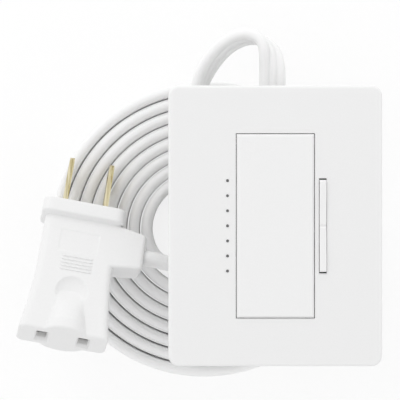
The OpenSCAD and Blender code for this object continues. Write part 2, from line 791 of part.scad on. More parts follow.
module inner_leads() {
    bend_y = lead_end_y + lead_bend_r;
    color("black") for (x = [-1, 0, 1]) {
        path = concat([[x * lead_pitch, lead_start_y, relief_z]],
            [for (a = [0 : 22.5 : 90])
                [x * lead_pitch, bend_y - lead_bend_r * sin(a), relief_z - lead_bend_r * (1 - cos(a))]],
            [[x * lead_pitch, lead_end_y, power_top]]);
        last = len(path) - 1;
        swept([for (i = [0 : last])
            let (t = i == 0 ? [0, -1, 0] : i == last ? [0, 0, -1] : unit(path[i + 1] - path[i - 1]))
            let (side = [1, 0, 0], up = cross(t, side))
            [for (a = [0 : 45 : 315]) path[i] + lead_d / 2 * (cos(a) * side + sin(a) * up)]]);
    }
}

module strain_relief() {
    neck_y = box_l / 2;
    flange_y = neck_y - box_wall - relief_flange_t;
    tip_flat = [
        [-relief_neck_w / 2, 0], [relief_neck_w / 2, 0],
        [relief_tip_w / 2, relief_out], [-relief_tip_w / 2, relief_out]
    ];
    tip_side = [
        [0, -relief_neck_t / 2], [relief_out, -relief_tip_t / 2],
        [relief_out, relief_tip_t / 2], [0, relief_neck_t / 2]
    ];
    color("white") translate([0, 0, relief_z]) {
        translate([0, neck_y, 0]) intersection() {
            translate([0, 0, -relief_neck_t]) linear_extrude(2 * relief_neck_t) polygon(tip_flat);
            translate([-relief_neck_w, 0, 0]) rotate([90, 0, 90])
                linear_extrude(2 * relief_neck_w) polygon(tip_side);
        }
        translate([0, flange_y + (box_wall + relief_flange_t) / 2, -relief_neck_t / 2])
            post([relief_neck_w, box_wall + relief_flange_t, relief_neck_t]);
        translate([0, flange_y + relief_flange_t / 2, -relief_neck_t / 2 - relief_flange])
            post([relief_neck_w + 2 * relief_flange, relief_flange_t, relief_neck_t + 2 * relief_flange]);
        translate([0, flange_y - relief_in / 2, -relief_tip_t / 2])
            post([relief_tip_w, relief_in, relief_tip_t]);
    }
}

module cord_loop() {
    color("white") cord_stretch(loop_route, [0, 1, 0], coil_heading(0));
}

module cord_coil() {
    color("white") swept(coil_rings_all);
}

module cord_tail() {
    color("white") cord_stretch(tail_route, coil_heading(coil_last / coil_rings), -arm_dir);
}

// Bar in the plug that starts so far from the blades' face, its width towards the plug's front
module blade_bar(start, length, t, w) {
    translate([-t / 2, -start - length, -w / 2]) cube([t, length, w]);
}

module plug_body() {
    grip_end = -plug_l - plug_end_t;
    grip_flat = [
        [-plug_w / 2, 0], [plug_w / 2, 0], [plug_w / 2, -plug_waist_y], [plug_end_w / 2, -plug_l],
        [plug_end_w / 2, grip_end], [-plug_end_w / 2, grip_end], [-plug_end_w / 2, -plug_l],
        [-plug_w / 2, -plug_waist_y]
    ];
    front = plug_end_t / 2 + lobe_front;
    back = -plug_end_t / 2 - lobe_back;
    grip_side = [
        [-1, -plug_t / 2], [-1, plug_t / 2],
        [plug_end(plug_end_t / 2), plug_end_t / 2], [plug_end(-plug_end_t / 2), -plug_end_t / 2]
    ];
    lobe_side = [
        [-lobe_start, 0], [-lobe_start, plug_t / 2], [plug_end(front), front],
        [plug_end(back), back], [-lobe_start, -plug_t / 2]
    ];
    arm_flat = [
        [0, arm_w / 2 + arm_slope], [plug_w / 2, arm_w / 2 + arm_slope],
        [arm_reach - arm_cut, arm_w / 2], [arm_reach, arm_w / 2 - arm_cut],
        [arm_reach, arm_cut - arm_w / 2], [arm_reach - arm_cut, -arm_w / 2], [0, -arm_w / 2]
    ];
    thumb_z = plug_t / 2 + (plug_end_t - plug_t) / 2 * thumb_y / plug_l;
    color("white") on_plug() difference() {
        union() {
            away(0, plug_flange_t) {
                square([flange_w - 2 * flange_r, flange_d], center = true);
                square([flange_w, flange_d - 2 * flange_r], center = true);
                for (x = [-1, 1], y = [-1, 1])
                    translate([x * (flange_w / 2 - flange_r), y * (flange_d / 2 - flange_r)])
                        circle(r = flange_r);
            }
            intersection() {
                translate([0, 0, -plug_end_t]) linear_extrude(2 * plug_end_t) polygon(grip_flat);
                translate([-plug_end_w, 0, 0]) rotate([90, 0, 90])
                    linear_extrude(2 * plug_end_w) polygon(grip_side);
            }
            translate([-lobe_w / 2, 0, 0]) rotate([90, 0, 90]) linear_extrude(lobe_w) polygon(lobe_side);
            translate([0, -arm_y, -arm_t / 2]) linear_extrude(arm_t) polygon(arm_flat);
        }
        for (x = [-1, 1]) translate([x * blade_pitch / 2, 0, 0]) {
            blade_bar(-past, blade_root + past, blade_t + 2 * snug, blade_w + 2 * snug);
            blade_bar(blade_root - past, leaf_start - blade_root + 2 * past,
                strap_t + 2 * snug, strap_h + 2 * snug);
            blade_bar(plug_l - slot_deep - pocket_l, pocket_l, pocket_w, pocket_h);
            blade_bar(plug_l - slot_deep - past, slot_deep + 2 * past, slot_w, slot_h);
        }
        for (i = [0 : 2]) translate([0, -plug_lead_y[i], 0])
            translate([(arm_reach - fit + lead_tips[i]) / 2, 0, 0])
                rod_x(plug_lead_d + 2 * snug, arm_reach - fit - lead_tips[i] + 2 * snug);
        translate([0, -thumb_y, thumb_z]) rotate([-thumb_tip, 0, 0]) cylinder(d = thumb_w, h = thumb_clear);
    }
}

// Where each plug lead ends: at the hot blade, the neutral strap and the hot contact
lead_tips = [
    blade_pitch / 2 + blade_t / 2 + snug,
    -blade_pitch / 2 + strap_t / 2 + snug,
    blade_pitch / 2 + strap_t / 2 + snug
];

// Spring contact behind a receptacle slot: a base and two leaves, with its tail towards the blades
module contact(tail_from) {
    blade_bar(tail_from, leaf_start - tail_from + leaf_t / 2, strap_t, strap_h);
    translate([-leaf_gap - leaf_t, -leaf_start - leaf_t, -blade_w / 2])
        cube([2 * (leaf_gap + leaf_t), leaf_t, blade_w]);
    for (x = [-1, 1]) translate([x * (leaf_gap + leaf_t / 2), 0, 0])
        blade_bar(leaf_start, leaf_l, leaf_t, blade_w);
}

// A blade folded from sheet: its tip's corners cut, its hole, and the fold's groove in both edges
module blade() {
    edge = blade_w / 2;
    difference() {
        translate([-blade_t / 2, 0, 0]) rotate([90, 0, 90]) linear_extrude(blade_t) difference() {
            polygon([
                [-blade_root, -edge], [blade_l - blade_tip, -edge], [blade_l, blade_tip - edge],
                [blade_l, edge - blade_tip], [blade_l - blade_tip, edge], [-blade_root, edge]
            ]);
            translate([blade_hole_y, 0]) circle(d = blade_hole_d);
        }
        for (z = [-1, 1]) translate([0, blade_l / 2, z * edge])
            cube([blade_fold_w, blade_l + past, 2 * blade_fold_deep], center = true);
    }
}

module neutral_blade() {
    color("goldenrod") on_plug() translate([-blade_pitch / 2, 0, 0]) {
        blade();
        contact(blade_root - strap_t);
    }
}

module hot_blade() {
    color("goldenrod") on_plug() translate([blade_pitch / 2, 0, 0]) blade();
}

module hot_contact() {
    color("goldenrod") on_plug() translate([blade_pitch / 2, 0, 0]) contact(tail_start);
}

module plug_leads() {
    color("peru") on_plug() for (i = [0 : 2])
        translate([(arm_reach - fit + lead_tips[i]) / 2, -plug_lead_y[i], 0])
            rod_x(plug_lead_d, arm_reach - fit - lead_tips[i]);
}

front_cover();
rear_housing();
rubber_feet();
housing_screws();
tap_paddle();
dimming_rocker();
light_pipe();
indicator_lamps();
control_board();
microcontroller();
switch_bodies();
tap_plunger();
raise_plunger();
lower_plunger();
board_header();
power_board();
board_screws();
heat_sink();
triac();
triac_screw();
choke_core();
choke_winding();
film_capacitor();
electrolytic_capacitor();
varistor();
fuse();
resistors();
inner_leads();
strain_relief();
cord_loop();
cord_coil();
cord_tail();
plug_body();
neutral_blade();
hot_blade();
hot_contact();
plug_leads();
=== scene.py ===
"""Plug-in lamp dimmer on its coiled cord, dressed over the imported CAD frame.

The case, its controls and everything inside are CAD nodes that get their finishes here. The cord is
one three-ribbed sheath from the strain relief to the plug's arm, and the plug's moulded body is a
closed surface with its flange, arm, grip ribs, thumb scoop and receptacle.
"""

import logging
from dataclasses import dataclass
from enum import Enum
from typing import Callable

import bpy
import numpy as np
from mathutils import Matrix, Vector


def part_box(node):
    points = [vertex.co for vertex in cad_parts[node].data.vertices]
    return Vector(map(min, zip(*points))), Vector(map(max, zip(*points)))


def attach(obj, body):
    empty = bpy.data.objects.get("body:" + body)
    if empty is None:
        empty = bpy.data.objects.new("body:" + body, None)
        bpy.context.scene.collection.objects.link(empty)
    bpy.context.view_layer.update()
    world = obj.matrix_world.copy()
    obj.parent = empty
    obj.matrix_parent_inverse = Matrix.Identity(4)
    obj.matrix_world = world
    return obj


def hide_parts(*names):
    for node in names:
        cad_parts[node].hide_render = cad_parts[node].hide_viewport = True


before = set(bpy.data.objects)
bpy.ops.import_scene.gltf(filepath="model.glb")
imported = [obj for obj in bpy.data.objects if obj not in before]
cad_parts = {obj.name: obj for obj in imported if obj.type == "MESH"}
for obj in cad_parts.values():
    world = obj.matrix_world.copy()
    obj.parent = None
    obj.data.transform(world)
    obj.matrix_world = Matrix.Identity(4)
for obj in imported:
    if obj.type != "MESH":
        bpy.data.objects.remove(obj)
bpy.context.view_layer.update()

LOG = logging.getLogger("plug_in_dimmer")
MM = 0.001
# Height of the table that the coil lies on, and width of the flat cord, in mm.
TABLE_Z = -24.65
CORD_W = 8.2
SENSOR_MM = 36.0
# Levels of a pattern at which its second colour ends and its main colour starts.
COLOUR_STOPS = (0.3, 0.7)
# Newton steps that settle a meshed surface, the reach in mm over which its slope is taken, and the
# least slope that a step divides by.
NEWTON_STEPS = 3
SLOPE_REACH = 0.02
LEAST_SLOPE = 0.5
Field = Callable[[np.ndarray], np.ndarray]


class Space(Enum):
    """Coordinates that a finish's pattern lies in."""

    OBJECT = "Object"
    UV = "UV"


class Pattern(Enum):
    """How a finish varies over its surface."""

    GRAIN = "grain"
    STREAK = "streak"
    SPECKLE = "speckle"
    TURNS = "turns"
    TRACKS = "tracks"


def linear(colour: str) -> tuple[float, float, float, float]:
    """Turns an sRGB hex colour into linear red, green, blue and alpha.

    Args:
        colour: Six hex digits after a hash.

    Returns:
        The linear colour, opaque.
    """
    share = np.array([int(colour[k : k + 2], 16) for k in (1, 3, 5)]) / 255
    value = np.where(share <= 0.04045, share / 12.92, ((share + 0.055) / 1.055) ** 2.4)
    return (*(float(v) for v in value), 1.0)


def middle_mm(node: str) -> tuple[float, ...]:
    """Gives the middle of a CAD node's box, in mm."""
    low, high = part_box(node)
    return tuple((a + b) / 2 / MM for a, b in zip(low, high))


def add_node(tree: bpy.types.NodeTree, kind: str, settings: dict | None = None,
             values: dict | None = None, links: dict | None = None) -> bpy.types.Node:
    """Adds a node with its settings, its inputs' values and its inputs' links.

    Args:
        tree: Node tree that the node joins.
        kind: Blender's name of the node's type.
        settings: Properties of the node.
        values: Constants by input name or number.
        links: Output sockets by input name or number.

    Returns:
        The new node.
    """
    node = tree.nodes.new(kind)
    for name, value in (settings or {}).items():
        setattr(node, name, value)
    for name, value in (values or {}).items():
        node.inputs[name].default_value = value
    for name, socket in (links or {}).items():
        tree.links.new(socket, node.inputs[name])
    return node


@dataclass(frozen=True)
class Finish:
    """A material, named for what it is and how its surface was made.

    Attributes:
        name: Name of the material.
        colour: Main colour, sRGB hex.
        second: Colour that the pattern brings in.
        pattern: Form of the pattern.
        size_mm: Size of the pattern's grains, streaks or tracks, or degrees for each turn of wire.
        rough: Least and greatest roughness.
        depth_mm: Height of the surface's relief.
        stretch: How many times longer the pattern is along each axis.
        metallic: 1 for a metal, else 0.
        ior: Index of refraction of a material that isn't a metal.
        soft: Share of the light that enters the surface and scatters, as in vinyl.
        soft_mm: How far that light spreads.
        clear: Share of the light that passes through.
        centre_mm: Axis that a pattern of turns goes round.
        space: Coordinates that the pattern lies in.
    """

    name: str
    colour: str
    second: str
    pattern: Pattern = Pattern.GRAIN
    size_mm: float = 0.5
    rough: tuple[float, float] = (0.4, 0.5)
    depth_mm: float = 0.01
    stretch: tuple[float, float, float] = (1.0, 1.0, 1.0)
    metallic: float = 0.0
    ior: float = 1.5
    soft: float = 0.0
    soft_mm: float = 0.8
    clear: float = 0.0
    centre_mm: tuple[float, ...] = (0.0, 0.0, 0.0)
    space: Space = Space.OBJECT

    def turns(self, tree: bpy.types.NodeTree, source: bpy.types.NodeSocket) -> bpy.types.NodeSocket:
        """Adds turns of wire: the angle round the centre, folded up and down once for each turn.

        Args:
            tree: Node tree of the material.
            source: Coordinates.

        Returns:
            The socket that gives the pattern, from 0 to 1.
        """
        spot = add_node(tree, "ShaderNodeMapping",
                        values={"Location": [-c * MM for c in self.centre_mm]}, links={"Vector": source})
        angle = add_node(tree, "ShaderNodeTexGradient", {"gradient_type": "RADIAL"},
                         links={"Vector": spot.outputs["Vector"]})
        wave = add_node(tree, "ShaderNodeMath", {"operation": "MULTIPLY"}, {1: 360 / self.size_mm},
                        {0: angle.outputs[1]})
        # Through a finish's colours this fold gives each strand a painted highlight in its middle and painted
        # shade at its sides.
        fold = add_node(tree, "ShaderNodeMath", {"operation": "PINGPONG"}, {1: 1.0}, {0: wave.outputs[0]})
        return fold.outputs[0]

    def texture(self, tree: bpy.types.NodeTree) -> bpy.types.NodeSocket:
        """Adds the pattern's texture.

        Args:
            tree: Node tree of the material.

        Returns:
            The socket that gives the pattern, from 0 to 1.
        """
        source = add_node(tree, "ShaderNodeTexCoord").outputs[self.space.value]
        if self.pattern is Pattern.TURNS:
            return self.turns(tree, source)
        scale = [1 / (self.size_mm * MM * s) for s in self.stretch]
        spread = add_node(tree, "ShaderNodeMapping", values={"Scale": scale}, links={"Vector": source})
        where = {"Vector": spread.outputs["Vector"]}
        if self.pattern is Pattern.SPECKLE:
            return add_node(tree, "ShaderNodeTexVoronoi", None, {"Scale": 1.0}, where).outputs["Distance"]
        if self.pattern is Pattern.TRACKS:
            tracks = {"Color1": (1, 1, 1, 1), "Color2": (0.6, 0.6, 0.6, 1), "Mortar": (0, 0, 0, 1),
                      "Scale": 1.0, "Mortar Size": 0.12, "Brick Width": 3.0, "Row Height": 1.0}
            return add_node(tree, "ShaderNodeTexBrick", {"offset": 0.35}, tracks, where).outputs["Color"]
        grain = {"Scale": 1.0, "Detail": 3.0, "Roughness": 0.6}
        return add_node(tree, "ShaderNodeTexNoise", None, grain, where).outputs[0]

    def material(self) -> bpy.types.Material:
        """Builds the material once: the pattern mixes the two colours and sets roughness and relief.

        Returns:
            The material.
        """
        known = bpy.data.materials.get(self.name)
        if known is not None:
            return known
        made = bpy.data.materials.new(self.name)
        made.use_nodes = True
        tree = made.node_tree
        shader = tree.nodes["Principled BSDF"]
        shader.inputs["Metallic"].default_value = self.metallic
        if not self.metallic:
            shader.inputs["IOR"].default_value = self.ior
        shader.inputs["Transmission Weight"].default_value = self.clear
        shader.inputs["Subsurface Weight"].default_value = self.soft
        shader.inputs["Subsurface Radius"].default_value = (1.0, 1.0, 1.0)
        shader.inputs["Subsurface Scale"].default_value = self.soft_mm * MM
        pattern = self.texture(tree)
        colours = add_node(tree, "ShaderNodeValToRGB", links={"Fac": pattern})
        low, high = colours.color_ramp.elements
        low.position, high.position = COLOUR_STOPS
        low.color, high.color = linear(self.second), linear(self.colour)
        rough = add_node(tree, "ShaderNodeMapRange",
                         values={"To Min": self.rough[0], "To Max": self.rough[1]}, links={"Value": pattern})
        relief = add_node(tree, "ShaderNodeBump", values={"Strength": 1.0, "Distance": self.depth_mm * MM},
                          links={"Height": pattern})
        tree.links.new(colours.outputs["Color"], shader.inputs["Base Color"])
        tree.links.new(rough.outputs["Result"], shader.inputs["Roughness"])
        tree.links.new(relief.outputs["Normal"], shader.inputs["Normal"])
        return made

    def dress(self, piece: bpy.types.Object) -> None:
        """Gives a piece this finish alone."""
        piece.data.materials.clear()
        piece.data.materials.append(self.material())


# Spark-eroded mould walls leave ABS with an even satin grain, too fine to see one by one; drawn at
# half a millimetre it just breaks up the light along the edges.
COVER_ABS = Finish("abs_satin_moulded", "#EFEFEF", "#EDEDED", size_mm=0.5, rough=(0.36, 0.44),
                   depth_mm=0.004, soft=0.5, soft_mm=0.8)
# A thumb keeps the paddle and the rocker a little smoother than the cover round them.
PADDLE_ABS = Finish("abs_satin_pressed_paddle", "#F1F1F1", "#EFEFEF", size_mm=0.45, rough=(0.32, 0.4),
                    depth_mm=0.003, soft=0.5, soft_mm=0.8)
ROCKER_ABS = Finish("abs_satin_rocker", "#F0F0F0", "#EEEEEE", size_mm=0.4, rough=(0.32, 0.4),
                    depth_mm=0.003, soft=0.5, soft_mm=0.8)
# The rear half has the coarser grain of a hidden part.
HOUSING_ABS = Finish("abs_grained_moulded", "#E9E9E8", "#E3E3E2", size_mm=0.7, rough=(0.5, 0.62),
                     depth_mm=0.02)
# Smoked acrylic: dark and glossy, so that an unlit dot reads as a grey point.
SMOKED_ACRYLIC = Finish("acrylic_smoked_polished", "#6E6E6E", "#606060", size_mm=0.3, rough=(0.15, 0.25),
                        depth_mm=0.001, ior=1.49)
# Dull dark pads with the pitted skin of cut rubber sheet.
FOOT_RUBBER = Finish("nitrile_rubber_matt", "#4A4A4A", "#3C3C3C", Pattern.SPECKLE, 0.4, (0.75, 0.9), 0.02)
# Bright plating whose crystals give soft, uneven highlights.
ZINC_STEEL = Finish("steel_zinc_plated", "#B9BABD", "#9C9DA1", size_mm=0.35, rough=(0.25, 0.42),
                    depth_mm=0.004, metallic=1.0)
# Green mask over copper: the tracks show as paler, slightly raised bands.
SOLDER_MASK = Finish("glass_epoxy_solder_mask", "#2C6A47", "#1E5034", Pattern.TRACKS, 1.3, (0.3, 0.42), 0.03)
# Near-black with a faint fibre texture that dulls the sheen.
BLACK_NYLON = Finish("nylon_glass_filled_moulded", "#262626", "#1B1B1B", size_mm=0.3, rough=(0.45, 0.6),
                     depth_mm=0.01)
# Pale yellow and shiny, like small drops of resin.
LAMP_EPOXY = Finish("epoxy_cast_lamp", "#EFE6C4", "#E6DAAE", size_mm=0.4, rough=(0.12, 0.2), depth_mm=0.002)
# Extruded bar keeps fine die lines along its length.
SINK_ALUMINIUM = Finish("aluminium_extruded_mill", "#C9CACD", "#ACADB1", Pattern.STREAK, 0.25, (0.28, 0.45),
                        0.006, (1.0, 40.0, 1.0), metallic=1.0)
# Grey-blue coat over pressed grains.
IRON_POWDER = Finish("iron_powder_coated", "#5B5F63", "#44484B", Pattern.SPECKLE, 0.5, (0.5, 0.65), 0.02)
# Turns of enamelled wire: a painted highlight along each strand and painted shade between them.
COPPER_TURNS_PAINTED_LIGHT = Finish("copper_wound_painted_highlight_shade", "#C26A33", "#6E3516", Pattern.TURNS, 3.6, (0.22, 0.4), 0.25,
                      metallic=1.0, centre_mm=middle_mm("choke_core"))
# Bare strands that run across the plug to its blades.
COPPER_STRANDS = Finish("copper_stranded", "#C9763F", "#8A4721", Pattern.STREAK, 0.25, (0.3, 0.45), 0.03,
                        (30.0, 1.0, 1.0), metallic=1.0)
# Dipped coats pool a little, so their shine wavers.
FILM_EPOXY = Finish("epoxy_dipped_film", "#C49A28", "#B0861C", size_mm=1.2, rough=(0.25, 0.36), depth_mm=0.02)
VARISTOR_EPOXY = Finish("epoxy_dipped_disc", "#2A4EA8", "#213F8C", size_mm=0.9, rough=(0.28, 0.4),
                        depth_mm=0.02)
RESISTOR_LACQUER = Finish("lacquer_dipped_resistor", "#C4A878", "#AE9263", size_mm=0.5, rough=(0.4, 0.55),
                          depth_mm=0.01)
# A shrunk sleeve, drawn tight with faint upright lines.
CAN_SLEEVE = Finish("pvc_shrunk_sleeve", "#20264F", "#181D40", Pattern.STREAK, 0.6, (0.22, 0.34), 0.006,
                    (1.0, 1.0, 12.0))
# Clear drawn tube with faint lines along it.
FUSE_GLASS = Finish("glass_drawn_fuse", "#DDE2E2", "#CDD4D4", Pattern.STREAK, 0.5, (0.05, 0.12), 0.002,
                    (1.0, 12.0, 1.0), clear=0.6)
# Extruded vinyl: faint draw lines along the cord, and light that sinks a little into the surface.
CORD_VINYL = Finish("vinyl_extruded_cord", "#F4F4F4", "#F1F1F1", Pattern.STREAK, 0.6, (0.4, 0.52), 0.006,
                    (60.0, 1.0, 1.0), soft=0.5, soft_mm=1.5, space=Space.UV)
INNER_VINYL = Finish("vinyl_extruded_lead", "#E6E6E4", "#DEDEDC", size_mm=0.6, rough=(0.42, 0.52),
                     depth_mm=0.006)
# Moulded vinyl: a soft even skin with hardly any shine.
RELIEF_VINYL = Finish("vinyl_moulded_relief", "#EFEFEE", "#EBEBEA", size_mm=0.6, rough=(0.45, 0.55),
                      depth_mm=0.008, soft=0.15)
PLUG_VINYL = Finish("vinyl_moulded_plug", "#EEEEEE", "#ECECEC", size_mm=0.6, rough=(0.42, 0.52),
                    depth_mm=0.006, soft=0.12, soft_mm=0.5)
# Rolled and stamped brass, pale gold: rolling lines, with pale and dark bands of painted highlight and shade.
BLADE_BRASS_PAINTED_SHEEN = Finish("brass_rolled_painted_sheen", "#F3ECCF", "#A8965A", Pattern.STREAK, 0.7, (0.22, 0.36), 0.004,
                     (1.0, 30.0, 8.0), metallic=1.0)

NODE_FINISHES: dict[str, Finish] = {
    "front_cover": COVER_ABS, "rear_housing": HOUSING_ABS, "rubber_feet": FOOT_RUBBER,
    "housing_screws": ZINC_STEEL, "tap_paddle": PADDLE_ABS, "dimming_rocker": ROCKER_ABS,
    "light_pipe": SMOKED_ACRYLIC, "indicator_lamps": LAMP_EPOXY, "control_board": SOLDER_MASK,
    "microcontroller": BLACK_NYLON, "switch_bodies": BLACK_NYLON, "tap_plunger": BLACK_NYLON,
    "raise_plunger": BLACK_NYLON, "lower_plunger": BLACK_NYLON, "board_header": BLACK_NYLON,
    "power_board": SOLDER_MASK, "board_screws": ZINC_STEEL, "heat_sink": SINK_ALUMINIUM,
    "triac": BLACK_NYLON, "triac_screw": ZINC_STEEL, "choke_core": IRON_POWDER,
    "choke_winding": COPPER_TURNS_PAINTED_LIGHT, "film_capacitor": FILM_EPOXY, "electrolytic_capacitor": CAN_SLEEVE,
    "varistor": VARISTOR_EPOXY, "fuse": FUSE_GLASS, "resistors": RESISTOR_LACQUER,
    "inner_leads": INNER_VINYL, "strain_relief": RELIEF_VINYL, "cord_loop": RELIEF_VINYL,
    "cord_coil": RELIEF_VINYL, "cord_tail": RELIEF_VINYL, "plug_body": PLUG_VINYL,
    "neutral_blade": BLADE_BRASS_PAINTED_SHEEN, "hot_blade": BLADE_BRASS_PAINTED_SHEEN, "hot_contact": BLADE_BRASS_PAINTED_SHEEN,
    "plug_leads": COPPER_STRANDS,
}


def new_piece(name: str, points_mm: np.ndarray, faces: list[list[int]]) -> bpy.types.Object:
    """Makes a smooth-shaded mesh object whose place is in its mesh.

    Args:
        name: Name of the piece.
        points_mm: Points, one row each, in mm.
        faces: Corner numbers, one row for each face.

    Returns:
        The linked object.
    """
    mesh = bpy.data.meshes.new(name)
    mesh.from_pydata((points_mm * MM).tolist(), [], faces)
    mesh.polygons.foreach_set("use_smooth", np.ones(len(mesh.polygons), dtype=bool))
    mesh.update()
    piece = bpy.data.objects.new(name, mesh)
    bpy.context.scene.collection.objects.link(piece)
    return piece


def grid_faces(rows: int, columns: int, first: int = 0) -> np.ndarray:
    """Numbers the faces of a tube of rings.

    Args:
        rows: Number of rings.
        columns: Points in each ring.
        first: Number of the first point.

    Returns:
        Four corners for each face, ring by ring.
    """
    ring, side = np.meshgrid(np.arange(rows - 1), np.arange(columns), indexing="ij")
    here, beside = ring * columns + side, ring * columns + (side + 1) % columns
    return first + np.stack([here, beside, beside + columns, here + columns], axis=-1).reshape(-1, 4)


def unit(rows: np.ndarray) -> np.ndarray:
    """Scales each row to length 1."""
    return rows / np.linalg.norm(rows, axis=-1, keepdims=True)


def turned(axis: int, degrees: float) -> np.ndarray:
    """Gives the matrix that turns points about one axis.

    Args:
        axis: 0, 1 or 2 for x, y or z.
        degrees: Angle of the turn.

    Returns:
        Three rows of three.
    """
    c, s = np.cos(np.radians(degrees)), np.sin(np.radians(degrees))
    one, two = (axis + 1) % 3, (axis + 2) % 3
    matrix = np.eye(3)
    matrix[one, one], matrix[one, two], matrix[two, one], matrix[two, two] = c, -s, s, c
    return matrix


@dataclass
class PlugPlace:
    """Where the plug lies: its own x is across it, y towards the blades, z out of its front.

    Attributes:
        spot_mm: Middle of the blades' face, seen from above.
        tilt: Lift of its receptacle end, in degrees.
        turn: Turn about the upright axis, in degrees.
        roll: Lift of its left side, in degrees.
        blade_mm: Thickness, length and width of a blade.
        blade_pitch: Distance between the blades.
        blade_tip: Length of the cut corners at a blade's tip.
        rest: Gap between the lower blade and the coil that it lies on.
    """

    spot_mm: tuple[float, float] = (-58.9, 4.5)
    tilt: float = 22.5
    turn: float = -7.9
    roll: float = 7.0
    blade_mm: tuple[float, float, float] = (1.5, 16.0, 6.35)
    blade_pitch: float = 12.7
    blade_tip: float = 1.2
    rest: float = 0.1

    def middle(self) -> np.ndarray:
        """Gives the middle of the blades' face, so high that the lower blade's tip just clears the coil.

        Returns:
            The point in the dimmer's frame, in mm.
        """
        thick, long, wide = self.blade_mm
        tilt, roll = np.radians(self.tilt), np.radians(self.roll)
        drop = (self.blade_pitch + thick) / 2 * np.sin(roll) + wide / 2 * np.cos(roll)
        lift = drop * np.cos(tilt) + (long - self.blade_tip) * np.sin(tilt)
        return np.array([*self.spot_mm, TABLE_Z + CORD_W + self.rest + lift])

    def place(self, local: np.ndarray) -> np.ndarray:
        """Carries points from the plug's own frame to the dimmer's.

        The points turn about y by the roll, about x by less the tilt and about z by the turn, and
        move to the middle.

        Args:
            local: Points in the plug's frame, in mm.

        Returns:
            The points in the dimmer's frame, in mm.
        """
        pose = turned(2, self.turn) @ turned(0, -self.tilt) @ turned(1, self.roll)
        return local @ pose.T + self.middle()


